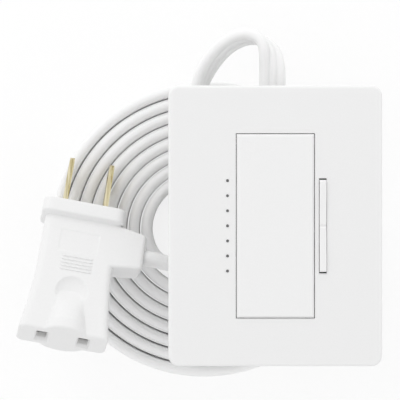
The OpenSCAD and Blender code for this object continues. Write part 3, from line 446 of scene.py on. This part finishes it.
@dataclass
class Cord:
    """Flat three-core cord: a loop from the strain relief, a coil on its edge, and a tail to the plug.

    Heights are over the table, and a roll of 90 degrees stands the cord on its edge.

    Attributes:
        plug: Where the plug lies.
        core_r: Radius of each core's rib in the sheath.
        core_pitch: Distance between the cores.
        step: Distance between the sheath's rings.
        smooth: Rings on either side that even out a bend.
        span_points: Fine points worked out between two points of the route.
        turn_points: Points worked out in each turn of the coil.
        arc_points: Points on an outer core's arc and on each side of the middle core.
        coil_turns: Turns of the coil.
        coil_r: Radii of the coil's inner end, sideways and lengthways.
        coil_step: Growth of the radii in each turn.
        coil_mid: Middle of the coil's inner end.
        coil_drift: Shift of the coil's middle in each turn.
        coil_start: Angle of the coil's inner end, in degrees.
        exit_mm: Where the cord leaves its strain relief.
        arm_end: Where it goes into the plug's arm, in the plug's frame.
        arm_straight: Straight length before the arm.
        arm_roll: Roll of the cord at the arm, in degrees.
    """

    plug: PlugPlace
    core_r: float = 1.75
    core_pitch: float = 2.35
    step: float = 1.25
    smooth: int = 4
    span_points: int = 24
    turn_points: int = 48
    arc_points: tuple[int, int] = (20, 7)
    coil_turns: float = 7.4
    coil_r: tuple[float, float] = (18.6, 17.15)
    coil_step: tuple[float, float] = (4.18, 4.06)
    coil_mid: tuple[float, float] = (-21.1, -2.2)
    coil_drift: tuple[float, float] = (0.1, -0.07)
    coil_start: float = 185.0
    exit_mm: tuple[float, float, float] = (0.0, 41.0, 21.2)
    arm_end: tuple[float, float, float] = (20.5, -12.2, 0.0)
    arm_straight: float = 5.5
    arm_roll: float = 110.0

    def loop_points(self) -> np.ndarray:
        """Gives the loop's points: x, y, height above the table in mm, and roll in degrees."""
        return np.array([
            (*self.exit_mm, 0), (0, 44.4, 21.2, 0), (0, 49.2, 21.2, 6), (-0.8, 54.6, 21, 45),
            (-3.2, 57.8, 20.4, 85), (-7.8, 59.2, 19.2, 112), (-13.6, 56.8, 17.4, 120), (-17.7, 53, 15.8, 123),
            (-21, 48, 14.2, 122), (-22.9, 43, 13.1, 112), (-23.6, 37, 12.7, 98), (-23.2, 30, 12.6, 90),
            (-22.6, 23, 12.6, 90), (-22.2, 16, 12.6, 90), (-22.1, 9, 10.8, 90), (-22.2, 2, 8, 90),
            (-22.8, -4.6, 5.6, 90), (-25.4, -10.4, 4.5, 90), (-31.2, -12.9, 4.1, 90), (-37, -10.3, 4.1, 90)])

    def coil_points(self) -> np.ndarray:
        """Gives the coil's points.

        At t turns from the inner end the angle is the start less 360 t degrees, and the radii and
        the middle grow and drift in step with t.

        Returns:
            Rows of x, y, height and roll.
        """
        t = np.linspace(0, self.coil_turns, round(self.coil_turns * self.turn_points) + 1)
        angle = np.radians(self.coil_start - 360 * t)
        x, y = (self.coil_mid[k] + self.coil_drift[k] * t + (self.coil_r[k] + self.coil_step[k] * t) * wave
                for k, wave in enumerate((np.cos(angle), np.sin(angle))))
        return np.column_stack([x, y, np.full_like(t, CORD_W / 2), np.full_like(t, 90.0)])

    def tail_points(self) -> np.ndarray:
        """Gives the tail's points, up to the end of the plug's arm."""
        arm = np.array(self.arm_end)
        end = self.plug.place(np.array([arm + (self.arm_straight, 0, 0), arm]))
        last = np.column_stack([end - (0, 0, TABLE_Z), np.full(2, self.arm_roll)])
        return np.vstack([np.array([
            (23.8, 20, 4.1, 90), (28.8, 10.6, 4.6, 90), (31, 1, 6, 90), (31.2, -8.6, 8.4, 90),
            (29.6, -17.6, 10.8, 90), (25.6, -26, 12.4, 90), (20, -33, 13.2, 90), (11, -36.8, 13.6, 90),
            (1, -37.6, 14.2, 90), (-9, -37.4, 15, 90), (-16.4, -36, 16, 90), (-21.6, -32, 17, 90),
            (-23.6, -26, 17.8, 90), (-24.2, -20.4, 18.4, 93), (-26.2, -15.6, 18.8, 99),
            (-30.2, -12.8, 19, 106)]), last])

    def route(self) -> np.ndarray:
        """Joins the three stretches on one smooth curve with rings at equal steps.

        Each span between two points is a cubic whose end slopes are half the difference of their
        neighbours; the fine points of all spans are then read off again at equal arc lengths. A short
        bell-shaped mean, mirrored through both ends so that they stay, evens out what bends are left.

        Returns:
            Rows of x, y, height and roll.
        """
        points = np.vstack([self.loop_points(), self.coil_points(), self.tail_points()])
        padded = np.vstack([points[:1], points, points[-1:]])
        a, b, c, d = (padded[k : k + len(points) - 1, None, :] for k in range(4))
        f = np.linspace(0, 1, self.span_points, endpoint=False)[None, :, None]
        fine = b + (c - a) * f / 2 + (2 * a - 5 * b + 4 * c - d) * f**2 / 2 + (3 * (b - c) + d - a) * f**3 / 2
        fine = np.vstack([fine.reshape(-1, 4), points[-1:]])
        along = np.concatenate([[0], np.cumsum(np.linalg.norm(np.diff(fine[:, :3], axis=0), axis=1))])
        even = np.linspace(0, along[-1], round(along[-1] / self.step) + 1)
        bell = np.hanning(2 * self.smooth + 3)[1:-1]
        columns = [np.pad(np.interp(even, along, fine[:, k]), self.smooth, "reflect", reflect_type="odd")
                   for k in range(4)]
        return np.column_stack([np.convolve(column, bell / bell.sum(), "valid") for column in columns])

    def section(self) -> np.ndarray:
        """Gives the sheath's outline: arcs round three cores in a row, which meet in grooves.

        It runs over the upper core, down one side, round the lower core and up the other side.

        Returns:
            Rows of thickness and width, in mm.
        """
        groove = np.degrees(np.arccos(self.core_pitch / 2 / self.core_r))
        outer, side = self.arc_points
        arcs = [(1, 180 - groove, groove - 180, outer), (0, -groove, groove - 180, side),
                (-1, -groove, groove - 360, outer), (0, 180 - groove, groove, side)]
        angle = np.radians(np.concatenate([np.linspace(a, b, n, endpoint=False) for _, a, b, n in arcs]))
        core = np.concatenate([np.full(n, place) for place, _, _, n in arcs])
        return np.column_stack([self.core_r * np.sin(angle),
                                core * self.core_pitch + self.core_r * np.cos(angle)])

    def build(self) -> tuple[bpy.types.Object, np.ndarray]:
        """Carries the section along the route, each ring square to it and rolled, and closes both ends.

        Returns:
            The sheath and its centreline in metres.
        """
        path = self.route()
        centre = path[:, :3] + (0, 0, TABLE_Z)
        ahead = unit(np.gradient(centre, axis=0))
        up = unit(np.array([0, 0, 1]) - ahead * ahead[:, 2:])
        roll = np.radians(path[:, 3:])
        wide = np.cos(roll) * np.cross(up, ahead) + np.sin(roll) * up
        thick = np.cross(wide, ahead)
        outline = self.section()
        rings = centre[:, None] + outline[:, :1] * thick[:, None] + outline[:, 1:] * wide[:, None]
        rows, columns = rings.shape[:2]
        ends = [list(range(columns))[::-1], list(range((rows - 1) * columns, rows * columns))]
        sheath = new_piece("cord_sheath", rings.reshape(-1, 3), grid_faces(rows, columns).tolist() + ends)
        self.lay_uv(sheath, rows, columns)
        return sheath, centre * MM

    def lay_uv(self, sheath: bpy.types.Object, rows: int, columns: int) -> None:
        """Lays a UV map in metres: along the cord, and round its section.

        Args:
            sheath: Mesh of rings.
            rows: Number of rings.
            columns: Points in each ring.
        """
        ring, side = np.meshgrid(np.arange(rows - 1), np.arange(columns), indexing="ij")
        corners = [np.stack([ring + r, side + s], axis=-1) for r, s in ((0, 0), (0, 1), (1, 1), (1, 0))]
        girth = 2 * (CORD_W + 2 * self.core_r)
        uv = np.stack(corners, axis=2) * np.array([self.step, girth / columns]) * MM
        flat = np.concatenate([uv.reshape(-1), np.zeros(4 * columns)])
        sheath.data.uv_layers.new(name="along").data.foreach_set("uv", flat.astype(np.float32))


def meet(a: np.ndarray, b: np.ndarray, r: float) -> np.ndarray:
    """Intersection of two distances whose common edge is rounded.

    Args:
        a: Distance from the first shape, below 0 inside.
        b: Distance from the second.
        r: Radius of the edge.

    Returns:
        The distance from what they share.
    """
    q = np.stack([a + r, b + r], axis=-1)
    return np.linalg.norm(np.maximum(q, 0), axis=-1) + np.minimum(q.max(axis=-1), 0) - r


def ease(x: np.ndarray, start: float, stop: float) -> np.ndarray:
    """Rises smoothly from 0 at start to 1 at stop."""
    t = np.clip((x - start) / (stop - start), 0, 1)
    return t * t * (3 - 2 * t)


def net_faces(number: np.ndarray, edges: list[tuple]) -> np.ndarray:
    """Puts a face through the four cells round each grid edge that a surface crosses.

    Args:
        number: Number of each cell's point, or -1.
        edges: For each axis the crossed edges, the other two axes, and whether each edge leads out.

    Returns:
        Four corners for each face, which face outwards.
    """
    faces = []
    for place, others, outward in edges:
        corners = []
        for one, two in ((-1, -1), (0, -1), (0, 0), (-1, 0)):
            cell = place.copy()
            cell[:, others[0]] += one
            cell[:, others[1]] += two
            corners.append(number[tuple(cell.T)])
        quad = np.stack(corners, axis=-1)
        faces.append(np.where(outward[:, None], quad, quad[:, ::-1]))
    return np.concatenate(faces)


def settle(field: Field, points: np.ndarray, step: float) -> np.ndarray:
    """Carries points along a field's slope on to the surface where it is zero, by Newton steps.

    Args:
        field: Gives a distance for points, below 0 inside.
        points: Points near the surface.
        step: Twice the furthest that a point may go in one step along each axis.

    Returns:
        The points on the surface.
    """
    for _ in range(NEWTON_STEPS):
        rise = [field(points + SLOPE_REACH * e) - field(points - SLOPE_REACH * e) for e in np.eye(3)]
        slope = np.stack(rise, axis=-1) / (2 * SLOPE_REACH)
        size = np.maximum((slope**2).sum(axis=-1, keepdims=True), LEAST_SLOPE**2)
        points = points - np.clip(field(points)[:, None] * slope / size, -step / 2, step / 2)
    return points


def surface_net(field: Field, low: tuple[float, ...], high: tuple[float, ...],
                step: float) -> tuple[np.ndarray, np.ndarray]:
    """Meshes the closed surface where a field is zero.

    Each grid cell that the surface crosses gets one point, the mean of the crossings on its edges.
    Each grid edge that it crosses gets one face, and the points then settle on the surface.

    Args:
        field: Gives a distance for points, below 0 inside.
        low: Lowest corner of the grid.
        high: Highest corner of the grid.
        step: Side of a cell.

    Returns:
        The points, and four corners for each face.
    """
    axes = [np.arange(low[k], high[k] + step, step) for k in range(3)]
    grid = np.stack(np.meshgrid(*axes, indexing="ij"), axis=-1)
    value = field(grid)
    cells = tuple(n - 1 for n in value.shape)
    total, hits, edges = np.zeros((*cells, 3)), np.zeros(cells), []
    for axis in range(3):
        near = np.take(value, range(cells[axis]), axis)
        far = np.take(value, range(1, cells[axis] + 1), axis)
        crossed = (near < 0) != (far < 0)
        share = np.where(crossed, near / np.where(crossed, near - far, 1), 0)
        spot = np.take(grid, range(cells[axis]), axis) + share[..., None] * step * np.eye(3)[axis]
        others = [(axis + 1) % 3, (axis + 2) % 3]
        for one, two in ((0, 0), (0, 1), (1, 0), (1, 1)):
            window = [slice(None)] * 3
            window[others[0]] = slice(one, one + cells[others[0]])
            window[others[1]] = slice(two, two + cells[others[1]])
            seen = crossed[tuple(window)]
            hits += seen
            total += np.where(seen[..., None], spot[tuple(window)], 0)
        edges.append((np.argwhere(crossed), others, near[crossed] < 0))
    number = np.where(hits > 0, np.cumsum(hits > 0).reshape(cells) - 1, -1)
    points = total[hits > 0] / hits[hits > 0][:, None]
    return settle(field, points, step), net_faces(number, edges)


@dataclass
class PlugBody:
    """Moulded plug with a flange, a side arm for the cord, a thumb scoop and a receptacle at its end.

    Lengths are in mm: across the plug from its middle, along it from the blades' face, and out of
    its middle plane.

    Attributes:
        place: Where the plug lies.
        length: From the blades' face to the receptacle.
        half_w: Half widths of the grip and of the receptacle's end.
        flare: Where the grip starts to widen, and the power by which it does.
        half_t: Half thicknesses at the flange and at the receptacle's end.
        edge_r: Radii of the grip's long edges and of its end.
        slant: Lean of the receptacle's face towards the front.
        flange: Half width, half depth and thickness of the flange.
        flange_r: Radii of the flange's corners and of its edges.
        flange_slope: Fall of the flange's far side, and the length of its slope for 1 across.
        arm: Reach of the arm, and where its upper and lower sides start and end.
        arm_r: Radii of the arm's long edges and of its end.
        arm_root: How deep the arm's root is sunk, and where it starts and stops coming up.
        ridge: Heights of the ridge on the front and on the back.
        ridge_start: Where the front ridge comes out of the scoop, and where the back one starts.
        ridge_foot: Half width of a ridge where the front one starts, and its growth along the plug.
        ridge_round: Power that rounds a ridge.
        ramp: Slope of the front ridge's start.
        scoop: Middle of the scoop, across and along, and its radius.
        scoop_deep: Depth of the scoop.
        scoop_round: Power that rounds the scoop.
        panel: Half width of the bare panel, and where it starts and ends.
        panel_deep: Depth of the panel, and half the width of its soft edge.
        slot_pitch: Distance between the receptacle's slots.
        slot: Half width, half height and depth of a slot.
        slot_r: Radii of the corners of a slot and of its pocket.
        mouth: Widening of a slot at its mouth, and how deep it goes.
        pocket: Half width and half height of the room behind a slot, its middle's depth and half length.
        ribs_at: Where the ribs' middles lie across the plug, where the first is along it, and their pitch.
        rib_size: Half length and radius of a rib.
        rib_count: Number of ribs.
        grid: Side of the cells that the surface is worked out on.
    """

    place: PlugPlace
    length: float = 42.8
    half_w: tuple[float, float] = (11.5, 13.8)
    flare: tuple[float, float] = (20.0, 1.5)
    half_t: tuple[float, float] = (5.0, 6.0)
    edge_r: tuple[float, float] = (2.2, 0.9)
    slant: float = 0.1
    flange: tuple[float, float, float] = (12.9, 7.2, 4.3)
    flange_r: tuple[float, float] = (2.8, 0.4)
    flange_slope: tuple[float, float] = (0.36, 1.06)
    arm: tuple[float, float, float, float, float] = (20.5, 4.9, 6.5, 18.6, 17.6)
    arm_r: tuple[float, float] = (0.8, 1.3)
    arm_root: tuple[float, float, float] = (0.9, 6.5, 9.0)
    ridge: tuple[float, float] = (3.6, 3.2)
    ridge_start: tuple[float, float] = (31.2, 26.0)
    ridge_foot: tuple[float, float] = (3.9, 0.24)
    ridge_round: float = 2.5
    ramp: float = 0.5
    scoop: tuple[float, float, float] = (0.2, 29.0, 5.0)
    scoop_deep: float = 1.4
    scoop_round: int = 3
    panel: tuple[float, float, float] = (5.95, 9.3, 16.2)
    panel_deep: tuple[float, float] = (0.14, 0.15)
    slot_pitch: float = 12.7
    slot: tuple[float, float, float] = (1.5, 3.25, 3.6)
    slot_r: tuple[float, float] = (0.4, 0.5)
    mouth: tuple[float, float] = (0.6, 1.1)
    pocket: tuple[float, float, float, float] = (2.6, 4.2, 9.5, 6.5)
    ribs_at: tuple[float, float, float] = (0.25, 17.7, 1.08)
    rib_size: tuple[float, float] = (4.95, 0.3)
    rib_count: int = 5
    grid: float = 0.3

    def plane(self, along: np.ndarray) -> np.ndarray:
        """Half thickness of the plain grip, which grows evenly along it."""
        return self.half_t[0] + (self.half_t[1] - self.half_t[0]) * along / self.length

    def dome(self, x: np.ndarray, along: np.ndarray) -> np.ndarray:
        """Profile of a ridge across the plug: 1 at its middle, 0 at its foot, which spreads along it.

        Args:
            x: Distance across the plug.
            along: Distance from the blades' face.

        Returns:
            The share of the ridge's height.
        """
        start, growth = self.ridge_foot
        foot = np.maximum(start + growth * (along - self.ridge_start[0]), 1)
        return np.clip(1 - np.abs((x - self.scoop[0]) / foot) ** self.ridge_round, 0, 1)

    def front(self, x: np.ndarray, along: np.ndarray) -> np.ndarray:
        """Height of the front: the plain grip with a scoop, a ridge that ramps out of it, and a panel.

        The scoop is a shallow round dish. The ridge's ramp starts below the plain grip, inside the
        dish, and comes out of it to the ridge's full height. The panel lies a little deeper.

        Args:
            x: Distance across the plug.
            along: Distance from the blades' face.

        Returns:
            The height over the plug's middle plane.
        """
        ramp = np.minimum(self.ramp * (along - self.ridge_start[0]), self.ridge[0])
        ridge = np.where(ramp > 0, ramp * self.dome(x, along), ramp)
        middle, start, r = self.scoop
        away = np.hypot(x - middle, along - start) / r
        dish = self.scoop_deep * np.clip(1 - away**self.scoop_round, 0, 1)
        wide, near, far = self.panel
        frame_edge = np.maximum(np.abs(x) - wide, np.abs(along - (near + far) / 2) - (far - near) / 2)
        deep, soft = self.panel_deep
        return self.plane(along) + np.maximum(ridge, -dish) - deep * (1 - ease(frame_edge, -soft, soft))

    def back(self, x: np.ndarray, along: np.ndarray) -> np.ndarray:
        """Depth of the back: the plain grip with its own ridge.

        Args:
            x: Distance across the plug.
            along: Distance from the blades' face.

        Returns:
            The depth under the plug's middle plane.
        """
        rise = ease(along, self.ridge_start[1], self.length)
        return self.plane(along) + self.ridge[1] * rise * self.dome(x, along)

    def grip(self, x: np.ndarray, along: np.ndarray, out: np.ndarray) -> np.ndarray:
        """Distance from the grip: a waisted bar that ends in the slanted receptacle's face.

        Args:
            x: Distance across the plug.
            along: Distance from the blades' face.
            out: Distance out of the middle plane.

        Returns:
            The distance, below 0 inside.
        """
        front, back = self.front(x, along), self.back(x, along)
        start, power = self.flare
        spread = np.clip((along - start) / (self.length - start), 0, 1.2) ** power
        half_w = self.half_w[0] + (self.half_w[1] - self.half_w[0]) * spread
        bar = meet(np.abs(x) - half_w, np.abs(out - (front - back) / 2) - (front + back) / 2, self.edge_r[0])
        end = self.length - self.slant * out
        return meet(bar, np.maximum(1 - along, along - end), self.edge_r[1])

    def flange_plate(self, x: np.ndarray, along: np.ndarray, out: np.ndarray) -> np.ndarray:
        """Distance from the flange: a plate with round corners whose far side slopes to the grip.

        Args:
            x: Distance across the plug.
            along: Distance from the blades' face.
            out: Distance out of the middle plane.

        Returns:
            The distance, below 0 inside.
        """
        wide, deep, thick = self.flange
        corner_r, edge_r = self.flange_r
        fall, slope = self.flange_slope
        plate = meet(np.abs(x) - wide, np.abs(out) - deep, corner_r)
        return meet(plate, np.maximum(-along, (along - thick + fall * plate) / slope), edge_r)

    def cord_arm(self, x: np.ndarray, along: np.ndarray, out: np.ndarray) -> np.ndarray:
        """Distance from the arm, which is flush with the grip's front and sinks into it at its root.

        Args:
            x: Distance across the plug.
            along: Distance from the blades' face.
            out: Distance out of the middle plane.

        Returns:
            The distance, below 0 inside.
        """
        reach, near, near_end, far, far_end = self.arm
        share = np.clip((x - self.half_w[0]) / (reach - self.half_w[0]), 0, 1)
        upper, lower = near + (near_end - near) * share, far + (far_end - far) * share
        sunk, start, stop = self.arm_root
        half_t = self.plane(along) - sunk * (1 - ease(x, start, stop))
        across = np.abs(along - (upper + lower) / 2) - (lower - upper) / 2
        bar = meet(across, np.abs(out) - half_t, self.arm_r[0])
        return meet(bar, np.abs(x - reach / 2) - reach / 2, self.arm_r[1])

    def field(self, p: np.ndarray) -> np.ndarray:
        """Distance from the plug's surface: grip, flange and arm, less the slots and their pockets.

        Args:
            p: Points in the plug's frame.

        Returns:
            The distance, below 0 inside.
        """
        x, along, out = p[..., 0], -p[..., 1], p[..., 2]
        body = np.minimum(self.grip(x, along, out), self.cord_arm(x, along, out))
        body = np.minimum(body, self.flange_plate(x, along, out))
        side = np.abs(np.abs(x) - self.slot_pitch / 2)
        deep = self.length - self.slant * out - along
        mouth = self.mouth[0] * np.clip(1 - deep / self.mouth[1], 0, 1.3)
        half_w, half_h, depth = self.slot
        slot_r, pocket_r = self.slot_r
        slot = np.maximum(meet(side - half_w - mouth, np.abs(out) - half_h - mouth, slot_r), deep - depth)
        half_w, half_h, middle, half_l = self.pocket
        room = meet(side - half_w, np.abs(out) - half_h, pocket_r)
        pocket = meet(room, np.abs(deep - middle) - half_l, pocket_r)
        return np.maximum(body, -np.minimum(slot, pocket))

    def ribs(self) -> tuple[np.ndarray, list[list[int]]]:
        """Raised grip ribs: round bars with closed ends, half sunk into the front.

        Each ring of a bar is an ellipse whose size follows a rounded end curve along the bar.

        Returns:
            The points in the plug's frame, and the faces.
        """
        run = np.linspace(-1, 1, 25)
        turn = np.linspace(0, 2 * np.pi, 12, endpoint=False)
        swell = np.sqrt(np.clip(1 - np.abs(run) ** 24, 1e-4, 1))[:, None]
        middle, nearest, pitch = self.ribs_at
        half_l, r = self.rib_size
        points, faces = [], []
        for k in range(self.rib_count):
            along = nearest + pitch * k
            x = middle + half_l * run
            y = -along + r * swell * np.cos(turn)
            z = self.front(x, along)[:, None] + r * swell * np.sin(turn)
            points.append(np.stack([np.broadcast_to(x[:, None], y.shape), y, z], axis=-1).reshape(-1, 3))
            first, ring = k * y.size, np.arange(len(turn))
            faces += grid_faces(len(run), len(turn), first).tolist()
            faces += [(first + ring[::-1]).tolist(), (first + y.size - len(turn) + ring).tolist()]
        return np.vstack(points), faces

    def build(self) -> bpy.types.Object:
        """Meshes the body with its ribs and lays it in place.

        Returns:
            The plug's body.
        """
        margin = 3 * self.grid
        deepest = self.half_t[1] + self.ridge[1]
        low = (-self.half_w[1] - margin, -self.length - 1.2 - margin, -deepest - margin)
        high = (self.arm[0] + margin, margin, self.half_t[1] + self.ridge[0] + margin)
        body, faces = surface_net(self.field, low, high, self.grid)
        ribs, bars = self.ribs()
        return new_piece("plug_moulding", self.place.place(np.vstack([body, ribs])),
                         faces.tolist() + [[corner + len(body) for corner in bar] for bar in bars])


@dataclass
class Studio:
    """Camera, floor, lamps and the white surround.

    Attributes:
        eye_mm: Place of the camera, which looks straight down on the face.
        lens_mm: Focal length on a sensor 36 mm wide.
        ambient: Level of the surround's light.
        key_w: Power of the lamp beyond the cord end.
        key_m: Place of that lamp.
        key_size: Width of that lamp, in metres.
        glow: Share of the floor's white that is there without any light.
        floor_half: Half the floor's side, in mm.
        floor_drop: How far the floor lies under the coil, in mm.
    """

    eye_mm: tuple[float, float, float] = (-22.52, 7.73, 463.55)
    lens_mm: float = 135.0
    ambient: float = 0.92
    key_w: float = 2.2
    key_m: tuple[float, float, float] = (-0.3, 0.9, 0.45)
    key_size: float = 0.5
    glow: float = 0.78
    floor_half: float = 1500.0
    floor_drop: float = 0.02

    def camera(self) -> None:
        """Sets the camera over the face."""
        lens = bpy.data.cameras.new("camera")
        lens.lens, lens.sensor_width = self.lens_mm, SENSOR_MM
        camera = bpy.data.objects.new("camera", lens)
        camera.location = [v * MM for v in self.eye_mm]
        bpy.context.scene.collection.objects.link(camera)
        bpy.context.scene.camera = camera

    def seen(self, tree: bpy.types.NodeTree) -> bpy.types.NodeSocket:
        """Adds the test for what the eye, a gloss or a clear piece sees.

        Args:
            tree: Node tree of the floor or the world.

        Returns:
            A socket that is 1 for such rays, else 0.
        """
        ray = add_node(tree, "ShaderNodeLightPath").outputs
        gloss = add_node(tree, "ShaderNodeMath", {"operation": "MAXIMUM"},
                         links={0: ray["Is Glossy Ray"], 1: ray["Is Transmission Ray"]})
        both = add_node(tree, "ShaderNodeMath", {"operation": "MAXIMUM"},
                        links={0: ray["Is Camera Ray"], 1: gloss.outputs[0]})
        return both.outputs[0]

    def floor(self) -> None:
        """Lays a pale table that shows white and keeps a soft shadow."""
        span = np.array([(-1, -1), (1, -1), (1, 1), (-1, 1)]) * self.floor_half
        height = np.full(4, TABLE_Z - self.floor_drop)
        table = new_piece("table", np.column_stack([span, height]), [[0, 1, 2, 3]])
        paint = bpy.data.materials.new("paper_white_sweep")
        paint.use_nodes = True
        tree = paint.node_tree
        tree.nodes.remove(tree.nodes["Principled BSDF"])
        matt = add_node(tree, "ShaderNodeBsdfDiffuse", values={"Color": linear("#FDFDFD")})
        glow = add_node(tree, "ShaderNodeEmission", values={"Color": (1, 1, 1, 1), "Strength": 1.0})
        share = add_node(tree, "ShaderNodeMath", {"operation": "MULTIPLY"}, {1: self.glow},
                         {0: self.seen(tree)})
        mix = add_node(tree, "ShaderNodeMixShader",
                       links={0: share.outputs[0], 1: matt.outputs[0], 2: glow.outputs[0]})
        tree.links.new(mix.outputs[0], tree.nodes["Material Output"].inputs["Surface"])
        table.data.materials.append(paint)

    def lights(self) -> None:
        """Sets a soft even surround, white to the eye, and one large lamp aimed at the dimmer."""
        world = bpy.data.worlds.new("white_room")
        bpy.context.scene.world = world
        world.use_nodes = True
        tree = world.node_tree
        level = add_node(tree, "ShaderNodeMapRange", values={"To Min": self.ambient, "To Max": 1.0},
                         links={"Value": self.seen(tree)})
        back = tree.nodes["Background"]
        back.inputs["Color"].default_value = (1, 1, 1, 1)
        tree.links.new(level.outputs["Result"], back.inputs["Strength"])
        lamp = bpy.data.lights.new("key", "AREA")
        lamp.shape, lamp.size, lamp.energy = "DISK", self.key_size, self.key_w
        key = bpy.data.objects.new("key", lamp)
        x, y, z = self.key_m
        key.location = self.key_m
        key.visible_glossy = False
        key.rotation_euler = (0, np.arctan2(np.hypot(x, y), z), np.arctan2(y, x))
        bpy.context.scene.collection.objects.link(key)

    def build(self) -> None:
        """Sets up the whole studio."""
        bpy.context.scene.view_settings.view_transform = "Standard"
        self.camera()
        self.floor()
        self.lights()


def main() -> None:
    """Builds the studio, the cord and the plug, and dresses every CAD node."""
    logging.basicConfig(level=logging.INFO)
    Studio().build()
    place = PlugPlace()
    cord = Cord(place)
    sheath, path = cord.build()
    CORD_VINYL.dress(sheath)
    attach(sheath, "dimmer")
    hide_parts("cord_loop", "cord_coil", "cord_tail")
    plug = PlugBody(place).build()
    PLUG_VINYL.dress(plug)
    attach(plug, "dimmer")
    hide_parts("plug_body")
    for name, finish in NODE_FINISHES.items():
        finish.dress(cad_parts[name])


if __name__ == "__main__":
    main()
